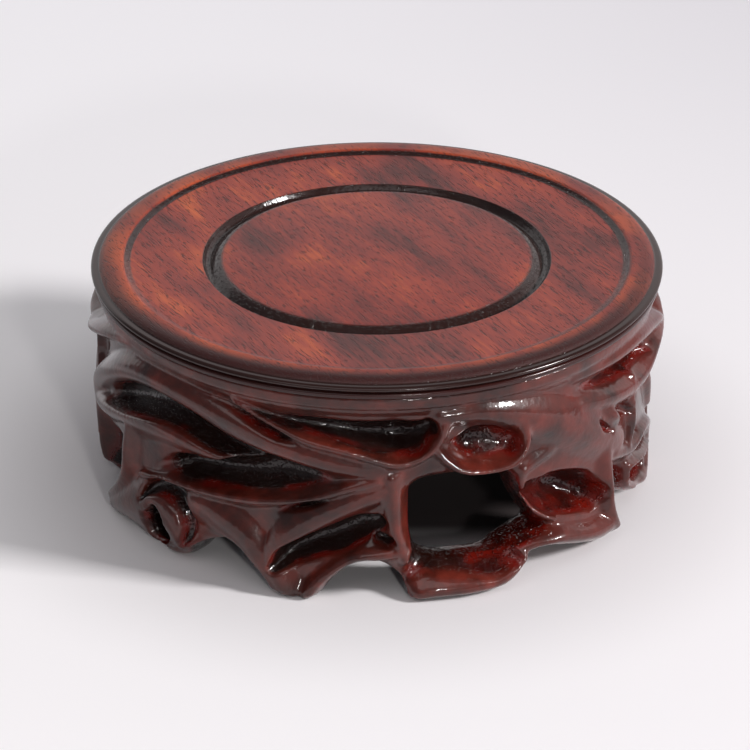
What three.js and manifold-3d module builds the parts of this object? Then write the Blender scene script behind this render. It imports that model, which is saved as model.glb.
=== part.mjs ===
// A round display stand of dark hardwood: a turned top board, let into a ring that is carved like
// knotted roots. The ring is glued up from four quarters with loose tongues, and pegged to the board.
// Millimetres and degrees. +Z is up, the origin is the middle of the footprint, and a turn of 0
// degrees is the front (-Y), growing towards +X.
import * as THREE from 'three';
import { mergeVertices } from 'three/addons/utils/BufferGeometryUtils.js';
import Module from 'manifold-3d';

const wasm = await Module();
wasm.setup();

// Driving dimensions
const fitGap = 0.3; // the gap that meeting faces keep
const standHeight = 51;
const boardRadius = 60;
const boardEdge = 4; // thickness of the board at its moulded edge
const spigotRadius = 45.6; // the round step under the board that sits in the ring
const spigotDepth = 4;
const ringTop = standHeight - boardEdge - fitGap;
const ringBore = 46;
const wallRadius = 56.8; // the ring's surface between the roots
const collarRadius = 58.7;
const collarHeight = 2.6;
const bevelRadius = 1.2; // rounding of the feet's lower edge
const rollWidth = 3; // how far the wall rolls over towards each opening
const rollDepth = 2.2;
const blend = 0.5; // how softly one root runs into the next
const quarters = 4;
const firstJoint = -35; // turn of the first glue line
const tongue = { radius: 48.6, thick: 2, wide: 12, low: 27, high: 39 };
const peg = { radius: 50.6, size: 1.6, low: 40.4, high: 49.2 };

// Meshes
const turnSteps = 150;
const heightSteps = 22;
const boardSteps = 80;
const finestWidth = 1.8; // narrower strokes would fall between the mesh's points
const softening = [-1, -0.5, 0, 0.5, 1]; // where the surface is averaged, in steps of the mesh
const mmPerDegree = (58 * Math.PI) / 180; // measured along the surface of the ring

// Roots that run over the ring: turn, height, half width above and below, and lift of the crest
const roots = [
  // ridge from the left end up over the left side and down to the middle
  [[-89, 3, 2, 2, 2.8], [-90, 10, 2, 2, 3], [-89, 17, 3, 3, 3.2], [-85, 23, 4.5, 4, 3.4],
   [-79, 28.2, 4.5, 3.5, 3.6], [-70, 33.6, 4.5, 3.5, 3.4], [-61, 37.8, 4.5, 3.5, 3],
   [-51, 40, 4, 4, 2.8], [-40, 39.6, 3.6, 5, 2.6], [-30, 37.4, 3.5, 6, 2.4], [-20, 34.4, 4, 5, 2.4],
   [-10, 31.8, 4, 4, 2.2], [0, 30, 4, 4, 2]],
  // tongue under it
  [[-90, 16, 3, 3, 2.4], [-84, 20.6, 3, 4, 3.2], [-75, 23.4, 2.5, 4.5, 3.2], [-66, 26.8, 2.5, 5, 3],
   [-57, 29, 2.5, 6, 2.8], [-48, 30, 2.5, 5, 2.8], [-41, 29.4, 2.5, 4, 2.4], [-34, 28, 2, 2, 1.2]],
  // web between the left opening and the curl
  [[-62, 25, 4, 4, 2.2], [-62.4, 19, 3.6, 3.6, 2.8], [-63.6, 13, 3, 4, 2.8], [-68, 7.4, 2.4, 4, 2.8],
   [-73, 3, 2.4, 3, 2.6]],
  // crest under the second valley
  [[-57, 15.8, 1.2, 2, 2.2], [-52, 17, 1, 1.4, 2.4], [-46, 18.8, 0.8, 1.4, 2.6],
   [-38, 19.8, 0.8, 2.6, 2.8], [-28, 20.8, 0.8, 3, 2.8], [-21, 21.8, 1, 2.4, 2.8],
   [-13, 23.6, 1, 2.2, 2.8], [-6, 26.4, 1.4, 2.6, 2.6], [0, 28, 2, 2.6, 2.2]],
  // broad face running down to the front left foot
  [[-40, 15.6, 4, 6, 2.2], [-35, 15.4, 5, 7, 2.6], [-28, 12, 5, 6, 2.6], [-24, 6, 5, 4, 2.6],
   [-21, 0, 5, 4, 2.6]],
  // front left foot
  [[1, 25.5, 4, 4, 2], [-7, 21.8, 4.6, 4, 2.6], [-14, 17.4, 5, 4.4, 2.8], [-19, 12, 5, 4.4, 3],
   [-21, 6, 5, 4.4, 3], [-18, 0, 5, 5, 3]],
  [[7, 12, 2.2, 2.4, 2.4], [2, 11.4, 2, 2.6, 2.8], [-3, 10.4, 2.2, 2.6, 3], [-8, 7.6, 2.4, 2.6, 3.2],
   [-12, 3.6, 2.8, 2.8, 3.2], [-15, -1, 3, 3, 3.2]],
  // post beside the front opening
  [[3, 28, 3, 3, 2], [3.4, 22, 3, 3, 2.6], [4, 16, 3, 3, 2.8], [6, 10, 3, 3, 2.6]],
  // front right foot
  [[7, 1.4, 3.4, 3, 2.8], [12, 2.4, 4, 3.4, 3.4], [19, 2.4, 4, 3.4, 3.8], [26, 3, 4, 3.4, 3.6],
   [30.4, 6, 3.4, 3.2, 3]],
  // strand that leaves it
  [[29, 8.2, 2.2, 2.4, 2.4], [36, 8.6, 2.6, 3, 2.8], [43, 7, 2.8, 4, 3], [50, 5, 3, 4, 3],
   [58, 4.2, 3.4, 4, 2.8]],
  // right foot
  [[54.6, 25, 4, 4, 2], [55, 17, 3, 3, 2.6], [56, 10, 3, 3, 3], [58.4, 3.4, 3, 3, 3]],
  // broad root from over the cut branch down to the right foot
  [[13, 41.5, 3, 3, 2], [22, 41.6, 4, 4, 2.8], [32, 38, 6, 6, 2.8], [42, 33, 7, 7, 2.8],
   [52, 27, 7, 7, 2.6], [59, 22, 6, 6, 2.2]],
  // strand at the right edge of the front opening
  [[38, 28.6, 2.4, 2.4, 1.2], [31, 25.6, 2, 2, 1.8], [31.2, 20, 1.4, 1.4, 2.4], [33.6, 15.4, 1.3, 1.3, 2.4],
   [39, 12, 1.4, 1.4, 2.2]],
  // bands over and under the slot on the right
  [[44, 42.8, 2.4, 2.2, 1.4], [56, 42.6, 2.6, 2.4, 2.2], [68, 42, 3, 3, 2.4], [78, 40, 3, 3, 2.8],
   [86, 38, 3, 3, 4.2], [90, 36, 3, 3, 4.7]],
  [[46, 35.8, 2.2, 3, 1.6], [58, 33.4, 2.6, 4, 2.2], [67, 32, 3, 4, 2.4], [74, 32.2, 3, 4, 2.8],
   [81, 35, 3, 3.6, 4], [90, 36, 3, 3.4, 4.7]],
  [[66, 35, 2, 2, 1.8], [65.4, 30, 1.8, 1.8, 2.2], [66.4, 24, 1.8, 1.8, 2.2], [64, 18, 2, 2, 1.8]],
  // ringed foot on the right
  [[58, 20, 3, 3, 2], [66, 17.4, 2.2, 2.4, 2.2], [74, 17.6, 2, 2, 2], [82, 15.6, 2.2, 2.2, 1.8],
   [86.6, 10, 2, 2, 1.4], [85.6, 3, 2, 2, 1.4], [78, 3, 1.4, 1.6, 1.4], [71.6, 5, 1.2, 1.6, 1.6],
   [66.4, 8, 1.2, 1.4, 1.8], [65.6, 13, 1.4, 1.4, 2]],
  [[66, 13, 1, 1, 2], [73, 11.8, 1, 1, 2.2], [79, 10.4, 1, 1, 2], [86, 9.4, 1, 1, 1.4]],
  // strand and hollow at the right end
  [[76, 32, 2, 2, 1.6], [79, 27, 2, 2, 2], [83, 20, 2, 2, 1.6]],
  // bright nub on the right
  [[52.6, 32.6, 1.5, 1.5, 1], [56, 30, 2, 2, 2.8], [58.6, 27.4, 1.4, 1.4, 2.2]],
  // shoulder on the left
  [[-90, 36.6, 2.6, 2.6, 5.2], [-85, 37, 3, 3, 6], [-79.6, 39, 3, 3, 5], [-72.4, 41.6, 2.6, 2.4, 3.6],
   [-66, 43.2, 2, 2, 2.6], [-60, 44.4, 1.6, 1.6, 2]],
  // strand from it down to the ridge
  [[-89, 34, 1.4, 1.4, 2.6], [-90, 29, 1.3, 1.3, 2.6], [-88, 24, 1.4, 1.4, 2.6]],
  // foot under the curl
  [[-71, 2, 4, 4, 2.8], [-65, 5.6, 5, 6, 3], [-57, 9, 7, 8, 3], [-48, 10.4, 7.4, 8, 3.2],
   [-43, 5.6, 4, 5, 2.8]],
  // curl on it
  [[-56, 10.2, 0.8, 0.8, 1.8], [-52, 11.6, 0.9, 0.9, 2.8], [-48.4, 11.8, 1.1, 1, 3.1],
   [-46, 9.6, 1.1, 1.1, 3.1], [-46, 6.4, 1.1, 1.1, 3], [-48, 3.2, 1, 1, 2.6]],
  // lip of the front bowl
  [[-30, 42.1, 0.9, 1.6, 1.6], [-20, 38.8, 1, 2, 2.2], [-14, 36.6, 1, 2.4, 2.6],
   [-5, 34.9, 1, 2.8, 2.8], [0, 33.4, 1, 3, 3], [4, 32.3, 1, 2.6, 3.2], [8, 33.2, 1.2, 2.4, 3.2],
   [11.6, 35.8, 1.6, 2.2, 3], [13.4, 39.6, 2, 2.4, 2.4]],
  // lip of the cut branch
  [[12, 34.4, 1.4, 1.8, 2.8], [14, 32.2, 1.4, 1.8, 3.6], [16.8, 30, 1.5, 1.8, 4.2],
   [20.6, 28.9, 1.7, 1.8, 4.4], [25, 28.8, 1.7, 1.8, 4.4], [28.6, 30.2, 1.8, 2, 4.2],
   [30.8, 33.6, 2, 2.2, 3.4], [30.4, 37.6, 2, 2.4, 2.8]],
];

// Cuts of the gouge: turn, height, half width above and below, and radius of the floor
const cuts = [
  // front bowl
  [[-30, 42.3, 0.4, 0.3, 57.6], [-22, 40.4, 1, 1, 56], [-16, 39, 2.4, 1.3, 54.4],
    [-9, 38, 3.2, 1.9, 53], [-4, 37, 4.1, 2, 52.2], [0.2, 36.4, 4.7, 2.7, 51.4],
    [4, 36.2, 5.2, 3.3, 51], [7.4, 37.2, 4.2, 3.6, 51.6], [10.4, 39, 2.2, 2.2, 53.4]],
  // lens beside it
  [[-40, 42.2, 0.4, 0.4, 57.6], [-32, 41.2, 1, 1, 56.4], [-25, 38.6, 1.3, 1.3, 55.6],
    [-20, 36.8, 1.2, 1.3, 55.8], [-16, 35.6, 0.4, 0.4, 57.6]],
  // two valleys on the left that meet
  [[-74, 25.8, 1.4, 1.4, 56.8], [-70.6, 27.6, 2.6, 2.4, 53.8], [-65, 29.8, 3.3, 3.2, 52.6],
    [-59.6, 31.7, 3.8, 3.5, 52.2], [-54, 33.2, 3.8, 3.4, 52], [-48, 33.8, 3.8, 2.9, 52],
    [-42, 33, 4.2, 2.4, 52],
    [-36, 31.2, 4.2, 2.3, 52], [-31, 29.8, 4, 2, 52.2], [-25, 28.8, 3.8, 2, 52.6],
    [-20, 28.4, 3.2, 2, 53.6]],
  [[-54, 18.4, 0.7, 0.7, 57.4], [-50.4, 20.2, 1.4, 1.4, 56.4], [-47.8, 21.2, 2.2, 2.2, 54.6],
    [-45.4, 21.9, 2.9, 2.7, 52], [-40, 23, 3.3, 3.1, 51.4], [-34, 24, 3.3, 3.4, 51.6],
    [-27, 25.6, 4.4, 4, 51.8],
    [-21.7, 27, 5, 4.4, 51.8], [-17.6, 27.2, 4.2, 3.8, 52.6], [-13.4, 27.3, 3, 2.8, 54],
    [-9.8, 27.3, 1.4, 1.4, 56], [-7.6, 27.2, 0.3, 0.3, 57.6]],
  // hollow between the two strands of that foot
  [[-21, 6.2, 1.4, 1.4, 56.4], [-18.4, 8.8, 2.8, 2.8, 53.2], [-12.6, 12, 3.4, 3.4, 52],
    [-7.5, 14.2, 3.7, 3.7, 52], [-3, 16.4, 3.6, 3.4, 52], [0, 17.6, 2.4, 2.4, 53.6]],
  // top of the front right foot
  [[6.6, 5.6, 1.8, 1.6, 56], [10, 8.6, 4, 3.6, 53], [15, 8.8, 4, 3.9, 52.4],
    [20, 8.4, 4, 4.2, 52.4], [25, 7.8, 3.6, 4.4, 53], [28.4, 7.4, 1.4, 3, 55.6]],
  // hollow to the right of the front opening
  [[33.6, 20.4, 2.4, 2.4, 53], [37, 18.8, 4.4, 4.4, 50], [42, 17, 5.1, 5.2, 48.6],
    [47.5, 14.8, 5, 4.8, 48.8], [51.6, 12.2, 3.6, 3.4, 51.4]],
  // slot on the right
  [[43.4, 39.9, 0.3, 0.3, 57.8], [50, 38.9, 1.3, 1.4, 55], [57, 37.9, 2, 2.1, 53],
    [65, 37.5, 2.4, 2.6, 52.4], [72, 36.6, 2, 2.2, 53], [76.6, 35.4, 0.7, 0.7, 56.6]],
  // lens at the right end
  [[86, 31.4, 1, 1, 56.4], [88, 27, 2.4, 2.4, 54], [90, 22.4, 1.2, 1.2, 56]],
  // two hollows in the ringed foot
  [[69, 14.6, 0.6, 0.6, 56.6], [73, 14.8, 1.6, 1.8, 53], [78, 13.6, 1.9, 1.9, 52],
    [82, 12.2, 1.2, 1.2, 53]],
  [[68.6, 10, 0.8, 0.8, 55], [72, 8.6, 2, 2, 50], [77, 7, 2.4, 2.6, 49],
    [81.6, 6.2, 2.4, 2.4, 49.4]],
  // slit under the left shoulder
  [[-87, 27, 0.5, 0.5, 56], [-84.6, 30.4, 1.5, 1.5, 52], [-82, 33.6, 1.4, 1.4, 52],
    [-78, 35.8, 0.5, 0.5, 57]],
  // ring and pit of the curl
  [[-56, 10.6, 0.7, 0.7, 57], [-54.2, 13.2, 1.6, 1.4, 54.6], [-50.8, 15.6, 2.2, 2, 53.2],
    [-46.8, 16.2, 2.5, 2.5, 52.6], [-43.6, 14.2, 2.3, 2.5, 52.8], [-42.2, 10.8, 1.8, 2.2, 53.6],
    [-42.8, 7, 1.4, 1.5, 55], [-44.4, 4, 0.5, 0.5, 57]],
  [[-52.6, 8.4, 2.4, 2.4, 51], [-53.6, 5.8, 3.9, 3.9, 48.6], [-55, 3.4, 3.2, 3.2, 49]],
  // hollow of the cut branch
  [[16.2, 34.6, 1.8, 1.8, 55.4], [19.4, 34.5, 3.8, 3.8, 52.6], [23.6, 34.4, 4, 4, 52],
    [27, 33.8, 3.2, 3.2, 53.6]],
];

// Openings right through the wall, as closed outlines of turn and height. Those that reach below
// the floor are the arches between the feet.
const openings = [
  [[7.4, 25.4], [6.8, 22], [6.8, 17], [7.6, 11.6], [9.4, 8.4], [13, 7.1], [19, 6.7], [26, 6.5],
   [30, 8.2], [35, 9.6], [38.4, 10.4], [36, 12], [34, 14.6], [32.2, 17.6], [30.6, 21], [29.4, 24.4],
   [27.4, 26], [24, 27], [12, 27]],
  [[-11.8, -3], [-10.6, 1.8], [-7.8, 5.6], [-5.4, 7.9], [-2.8, 8.7], [0, 8], [2.8, 6.5], [5.2, 4],
   [6.2, 0.6], [6.4, -3]],
  [[-45.6, -3], [-43, 2.4], [-40.4, 5.2], [-36.4, 7.2], [-32.8, 8.1], [-30, 7.1], [-27.4, 5.2],
   [-24.8, 3.2], [-22.8, 0.6], [-21.8, -3]],
  [[30, -3], [31.4, 2], [33.6, 4.6], [36.4, 5.2], [40, 4.7], [44.8, 3.1], [50, 1.2], [53, -3]],
  [[62.6, -3], [61.4, 3], [59.2, 7], [58.2, 10.6], [58.8, 13.6], [61, 14.8], [63.4, 14], [64.4, 11.6],
   [64.8, 9], [66.6, 6.4], [71, 4], [77, 2], [80, -3]],
  [[-87.6, -3], [-87.8, 5], [-87, 12], [-83, 14], [-77.4, 15.6], [-71.2, 17.2], [-67.8, 16.4],
   [-67, 14], [-68.4, 10.8], [-71.6, 8], [-75.4, 5], [-76.8, 2], [-77, -3]],
];

// A closed solid from a geometry, with its shared vertices merged
function toSolid(geometry) {
  const plain = geometry.clone();
  plain.deleteAttribute('normal');
  plain.deleteAttribute('uv');
  const merged = mergeVertices(plain, 1e-4);
  return new wasm.Manifold(new wasm.Mesh({
    numProp: 3,
    vertProperties: new Float32Array(merged.attributes.position.array),
    triVerts: new Uint32Array(merged.index.array),
  }));
}

function fromSolid(solid) {
  const mesh = solid.getMesh();
  const geometry = new THREE.BufferGeometry();
  geometry.setAttribute('position', new THREE.BufferAttribute(mesh.vertProperties, 3));
  geometry.setIndex(new THREE.BufferAttribute(mesh.triVerts, 1));
  geometry.computeVertexNormals();
  return geometry;
}

function onRing(turn, radius, height) {
  const angle = THREE.MathUtils.degToRad(turn);
  return new THREE.Vector3(radius * Math.sin(angle), -radius * Math.cos(angle), height);
}

// A stroke sampled along a smooth curve
function sampleStroke(path) {
  const place = new THREE.SplineCurve(path.map(([turn, height]) => new THREE.Vector2(turn, height)));
  const widths = new THREE.SplineCurve(path.map(([, , above, below]) => new THREE.Vector2(above, below)));
  const level = new THREE.SplineCurve(path.map((point) => new THREE.Vector2(point[4], 0)));
  const steps = (path.length - 1) * 4;
  return Array.from({ length: steps + 1 }, (_, step) => {
    const at = place.getPoint(step / steps);
    const size = widths.getPoint(step / steps);
    const { x } = level.getPoint(step / steps);
    return { turn: at.x, height: at.y, above: size.x, below: size.y, level: x };
  });
}

// The nearest place on a sampled stroke: distance as a share of the half width there, and its level
function nearest(samples, turn, height) {
  let best = { distance: Infinity, share: Infinity, level: 0 };
  for (let i = 1; i < samples.length; i += 1) {
    const from = samples[i - 1];
    const to = samples[i];
    const runX = (to.turn - from.turn) * mmPerDegree;
    const runY = to.height - from.height;
    const x = (turn - from.turn) * mmPerDegree;
    const y = height - from.height;
    const along = THREE.MathUtils.clamp((x * runX + y * runY) / (runX * runX + runY * runY), 0, 1);
    const distance = Math.hypot(x - along * runX, y - along * runY);
    if (distance < best.distance) {
      const isAbove = (runX * y - runY * x) * (runX < 0 ? -1 : 1) > 0;
      const width = isAbove ? THREE.MathUtils.lerp(from.above, to.above, along)
        : THREE.MathUtils.lerp(from.below, to.below, along);
      best = {
        distance,
        share: distance / Math.max(width, finestWidth),
        level: THREE.MathUtils.lerp(from.level, to.level, along),
      };
    }
  }
  return best;
}

function softMax(a, b) {
  const share = THREE.MathUtils.clamp(0.5 + (a - b) / (2 * blend), 0, 1);
  return THREE.MathUtils.lerp(b, a, share) + blend * share * (1 - share);
}

// An opening's outline as a smooth closed curve
function sampleOutline(outline, count) {
  const corners = outline.map(([turn, height]) => new THREE.Vector3(turn, height, 0));
  return new THREE.CatmullRomCurve3(corners, true, 'catmullrom', 0.5).getPoints(count).slice(0, count);
}

// How far a place on the ring lies from an outline's edge, below 0 inside it
function outlineDistance(points, turn, height) {
  let inside = false;
  let distance = Infinity;
  points.forEach((to, i) => {
    const from = points[(i + points.length - 1) % points.length];
    const x1 = (from.x - turn) * mmPerDegree;
    const x2 = (to.x - turn) * mmPerDegree;
    const y1 = from.y - height;
    const y2 = to.y - height;
    const length = (x2 - x1) ** 2 + (y2 - y1) ** 2;
    const share = THREE.MathUtils.clamp(-(x1 * (x2 - x1) + y1 * (y2 - y1)) / length, 0, 1);
    distance = Math.min(distance, Math.hypot(x1 + share * (x2 - x1), y1 + share * (y2 - y1)));
    if ((y1 > 0) !== (y2 > 0) && x1 - (y1 * (x2 - x1)) / (y2 - y1) > 0) {
      inside = !inside;
    }
  });
  return inside ? -distance : distance;
}

// The back of the ring is carved like the front seen in a mirror
function mirrored(turn) {
  const wrapped = THREE.MathUtils.euclideanModulo(turn + 180, 360) - 180;
  return Math.abs(wrapped) > 90 ? Math.sign(wrapped) * 180 - wrapped : wrapped;
}

const sampledRoots = roots.map(sampleStroke);
const sampledCuts = cuts.map(sampleStroke);
const frontOutlines = openings.map((outline) => sampleOutline(outline, 30));
const backOutlines = frontOutlines.map((points) => (
  points.map((point) => new THREE.Vector3(180 - point.x, point.y, 0))));

// Radius of the carved surface at a turn and a height
function surfaceRadius(wholeTurn, height) {
  const turn = mirrored(wholeTurn);
  const collarStart = ringTop - collarHeight;
  const rise = THREE.MathUtils.smoothstep(height, collarStart - 3.4, collarStart - 0.2);
  let body = THREE.MathUtils.lerp(wallRadius, collarRadius - 0.5, rise);
  for (const samples of sampledRoots) {
    const { share, level } = nearest(samples, turn, height);
    body = softMax(body, wallRadius + level * Math.max(1 - share ** 2, 0) ** 1.5);
  }
  let radius = body;
  for (const samples of sampledCuts) {
    const { share, level } = nearest(samples, turn, height);
    radius = Math.min(radius, level + Math.max(body + 0.3 - level, 0.6) * share ** 2);
  }
  for (const points of frontOutlines) {
    const away = outlineDistance(points, turn, height);
    radius -= rollDepth * THREE.MathUtils.clamp(1 - away / rollWidth, 0, 1) ** 2;
  }
  if (height > collarStart) {
    radius = Math.max(radius, collarRadius);
  }
  radius -= bevelRadius * THREE.MathUtils.clamp(1 - height / 2.2, 0, 1) ** 2;
  return Math.max(radius, ringBore + 3);
}

// The same radius averaged over its surroundings, so that crisp edges don't turn into a row of teeth
function softRadius(turn, height) {
  let sum = 0;
  let weights = 0;
  for (const across of softening) {
    for (const up of softening) {
      const weight = (1.5 - Math.abs(across)) * (1.5 - Math.abs(up));
      const place = THREE.MathUtils.clamp(height + (up * ringTop) / heightSteps, 0, ringTop);
      sum += weight * surfaceRadius(turn + (across * 360) / turnSteps, place);
      weights += weight;
    }
  }
  return height > ringTop - collarHeight ? surfaceRadius(turn, height) : sum / weights;
}

// The carved ring before its openings are cut, as one closed grid round the section. Each cell is
// split along its flatter diagonal.
function makeRingBlank() {
  const rows = [];
  for (let step = 0; step <= heightSteps; step += 1) {
    rows.push({ height: (ringTop * step) / heightSteps, carved: true });
  }
  rows.push({ height: ringTop, carved: false }, { height: 0, carved: false });
  const positions = [];
  const radii = [];
  const faces = [];
  for (let side = 0; side < turnSteps; side += 1) {
    const turn = (side * 360) / turnSteps;
    for (const { height, carved } of rows) {
      const radius = carved ? softRadius(turn, height) : ringBore;
      radii.push(radius);
      positions.push(...onRing(turn, radius, height));
    }
  }
  for (let side = 0; side < turnSteps; side += 1) {
    const here = side * rows.length;
    const next = ((side + 1) % turnSteps) * rows.length;
    rows.forEach((_, row) => {
      const up = (row + 1) % rows.length;
      const [a, b, c, d] = [here + row, next + row, next + up, here + up];
      if (Math.abs(radii[a] - radii[c]) <= Math.abs(radii[b] - radii[d])) {
        faces.push(a, b, c, a, c, d);
      } else {
        faces.push(a, b, d, b, c, d);
      }
    });
  }
  const geometry = new THREE.BufferGeometry();
  geometry.setAttribute('position', new THREE.BufferAttribute(new Float32Array(positions), 3));
  geometry.setIndex(faces);
  return geometry;
}

// A plug that fills one opening from inside the bore to beyond the carving
function makeOpeningPlug(points) {
  const innerRadius = ringBore - 4;
  const outerRadius = boardRadius + 8;
  const middle = points.reduce((sum, point) => sum.add(point), new THREE.Vector3());
  middle.divideScalar(points.length);
  const positions = [];
  for (const point of [...points, middle]) {
    positions.push(...onRing(point.x, innerRadius, point.y));
    positions.push(...onRing(point.x, outerRadius, point.y));
  }
  const faces = [];
  const count = points.length;
  for (let i = 0; i < count; i += 1) {
    const [a, b, hub] = [i * 2, ((i + 1) % count) * 2, count * 2];
    faces.push(a, b, b + 1, a, b + 1, a + 1);
    faces.push(hub, b, a, hub + 1, a + 1, b + 1);
  }
  const clockwise = THREE.ShapeUtils.isClockWise(points);
  const geometry = new THREE.BufferGeometry();
  geometry.setAttribute('position', new THREE.BufferAttribute(new Float32Array(positions), 3));
  geometry.setIndex(clockwise ? faces.reverse() : faces);
  return geometry;
}

// A wedge that holds one quarter of the ring, short of the glue lines by half the gap
function makeQuarterWedge(turn) {
  const reach = boardRadius * 2;
  const half = fitGap / 2;
  const along = (angle) => new THREE.Vector2(Math.sin(angle), -Math.cos(angle));
  const start = THREE.MathUtils.degToRad(turn);
  const end = start + (2 * Math.PI) / quarters;
  const startLine = along(start);
  const endLine = along(end);
  const inset = endLine.clone().add(startLine).multiplyScalar(half);
  const shape = new THREE.Shape([
    inset,
    startLine.clone().multiplyScalar(reach).add(inset),
    startLine.clone().add(endLine).multiplyScalar(reach).add(inset),
    endLine.clone().multiplyScalar(reach).add(inset),
  ]);
  const wedge = new THREE.ExtrudeGeometry(shape, { depth: standHeight * 2, bevelEnabled: false });
  return wedge.translate(0, 0, -standHeight / 2);
}

// The turned top board: panel, groove, seat ring, raised rim and the moulded edge
function makeTopBoard() {
  const seat = standHeight - 0.75;
  const under = standHeight - boardEdge;
  const profile = [
    [0, seat], [32.4, seat], [33.8, seat - 0.4], [34.9, seat - 1.4], [36.1, seat - 0.9], [36.7, seat],
    [51.6, seat], [52.8, seat + 0.3], [53.6, standHeight],
    [56.4, standHeight - 0.12], [57.8, standHeight - 0.5], [58.5, standHeight - 1.1],
    [59.6, standHeight - 1.16], [boardRadius, standHeight - 1.6], [59.6, standHeight - 2.05],
    [58.8, standHeight - 2.2], [58.8, standHeight - 2.5],
    [59.6, standHeight - 2.9], [59.6, standHeight - 3.6], [59.2, under],
    [spigotRadius, under], [spigotRadius, under - spigotDepth], [0, under - spigotDepth],
  ];
  const points = profile.reverse().map(([radius, height]) => new THREE.Vector2(radius, height));
  const board = new THREE.LatheGeometry(points, boardSteps);
  return board.rotateX(Math.PI / 2);
}

function makeTongue(turn) {
  const geometry = new THREE.BoxGeometry(tongue.wide, tongue.thick, tongue.high - tongue.low);
  geometry.rotateZ(THREE.MathUtils.degToRad(turn));
  const middle = onRing(turn, tongue.radius, (tongue.low + tongue.high) / 2);
  return geometry.translate(middle.x, middle.y, middle.z);
}

function makeTongueSlot(turn) {
  const room = fitGap * 2;
  const geometry = new THREE.BoxGeometry(
    tongue.wide + room, tongue.thick + room, tongue.high - tongue.low + room);
  geometry.rotateZ(THREE.MathUtils.degToRad(turn));
  const middle = onRing(turn, tongue.radius, (tongue.low + tongue.high) / 2);
  return geometry.translate(middle.x, middle.y, middle.z);
}

function makePeg(turn, radius, low, high) {
  const geometry = new THREE.CylinderGeometry(radius, radius, high - low, 12);
  geometry.rotateX(Math.PI / 2);
  const middle = onRing(turn, peg.radius, (low + high) / 2);
  return geometry.translate(middle.x, middle.y, middle.z);
}

const lacquer = new THREE.MeshStandardMaterial({ color: 0x3a100c, roughness: 0.22, metalness: 0 });
const panelWood = new THREE.MeshStandardMaterial({ color: 0x7a2f1c, roughness: 0.4, metalness: 0 });
const plainWood = new THREE.MeshStandardMaterial({ color: 0x9a6a44, roughness: 0.7, metalness: 0 });

const stand = new THREE.Group();
function addPart(name, geometry, material) {
  const mesh = new THREE.Mesh(geometry, material);
  mesh.name = name;
  stand.add(mesh);
}

// Turns of the glue lines and of the two pegs in each quarter
const quarterTurn = 360 / quarters;
const jointTurns = Array.from({ length: quarters }, (_, i) => firstJoint + i * quarterTurn);
const pegTurns = jointTurns.flatMap((turn) => [turn + 20, turn + 70]);

let ring = toSolid(makeRingBlank());
for (const points of [...frontOutlines, ...backOutlines]) {
  ring = ring.subtract(toSolid(makeOpeningPlug(points)));
}
for (const turn of jointTurns) {
  ring = ring.subtract(toSolid(makeTongueSlot(turn)));
}
for (const turn of pegTurns) {
  ring = ring.subtract(toSolid(makePeg(turn, peg.size + fitGap, peg.low - fitGap, ringTop + 1)));
}

const quarterNames = ['front', 'right', 'back', 'left'];
jointTurns.forEach((turn, i) => {
  const quarter = ring.intersect(toSolid(makeQuarterWedge(turn)));
  addPart(`root_ring_${quarterNames[i]}`, fromSolid(quarter), lacquer);
  addPart(`joint_tongue_${i + 1}`, makeTongue(turn), plainWood);
});

let board = toSolid(makeTopBoard());
pegTurns.forEach((turn, i) => {
  const hole = makePeg(turn, peg.size + fitGap, ringTop - 1, peg.high + fitGap);
  board = board.subtract(toSolid(hole));
  addPart(`top_peg_${i + 1}`, makePeg(turn, peg.size, peg.low, peg.high), plainWood);
});
addPart('top_board', fromSolid(board), panelWood);

export default stand;
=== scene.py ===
# A round display stand of dark hardwood: a turned top board on an open ring carved like knotted roots.
import math
import bmesh
import bpy
import numpy as np
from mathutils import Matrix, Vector


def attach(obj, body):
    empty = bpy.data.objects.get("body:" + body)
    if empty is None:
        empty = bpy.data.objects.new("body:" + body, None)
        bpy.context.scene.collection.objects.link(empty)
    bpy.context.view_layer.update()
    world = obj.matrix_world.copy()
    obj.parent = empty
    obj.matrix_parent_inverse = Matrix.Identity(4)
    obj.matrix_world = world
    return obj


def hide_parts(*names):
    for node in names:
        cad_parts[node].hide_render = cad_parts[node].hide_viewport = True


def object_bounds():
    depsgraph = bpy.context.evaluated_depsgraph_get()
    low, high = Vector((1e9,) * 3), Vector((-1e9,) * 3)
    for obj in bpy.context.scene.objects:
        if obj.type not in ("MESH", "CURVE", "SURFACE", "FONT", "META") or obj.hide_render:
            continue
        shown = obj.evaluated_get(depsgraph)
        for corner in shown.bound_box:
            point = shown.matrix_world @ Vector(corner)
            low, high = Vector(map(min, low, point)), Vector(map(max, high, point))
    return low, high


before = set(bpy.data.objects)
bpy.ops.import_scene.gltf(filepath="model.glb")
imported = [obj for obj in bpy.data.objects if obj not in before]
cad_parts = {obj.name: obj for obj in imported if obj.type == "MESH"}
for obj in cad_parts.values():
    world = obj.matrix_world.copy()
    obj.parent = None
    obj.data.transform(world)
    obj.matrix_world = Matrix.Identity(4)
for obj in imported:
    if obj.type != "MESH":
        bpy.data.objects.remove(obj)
cadLow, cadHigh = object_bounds()
mm = 0.001
print("frame loaded")

stand = {
    "height": cadHigh[2] / mm,
    "boardEdge": 4.0,          # thickness of the board at its moulded edge
    "spigotRadius": 45.6,      # the round step that sits in the ring
    "spigotDepth": 4.0,
    "seam": 0.02,              # between the board and the ring
}
ringTop = stand["height"] - stand["boardEdge"] - stand["seam"]


# Meshes

def objectFromBmesh(name, bm, material):
    mesh = bpy.data.meshes.new(name)
    bm.to_mesh(mesh)
    bm.free()
    mesh.materials.append(material)
    piece = bpy.data.objects.new(name, mesh)
    bpy.context.scene.collection.objects.link(piece)
    for polygon in mesh.polygons:
        polygon.use_smooth = True
    return piece


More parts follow.
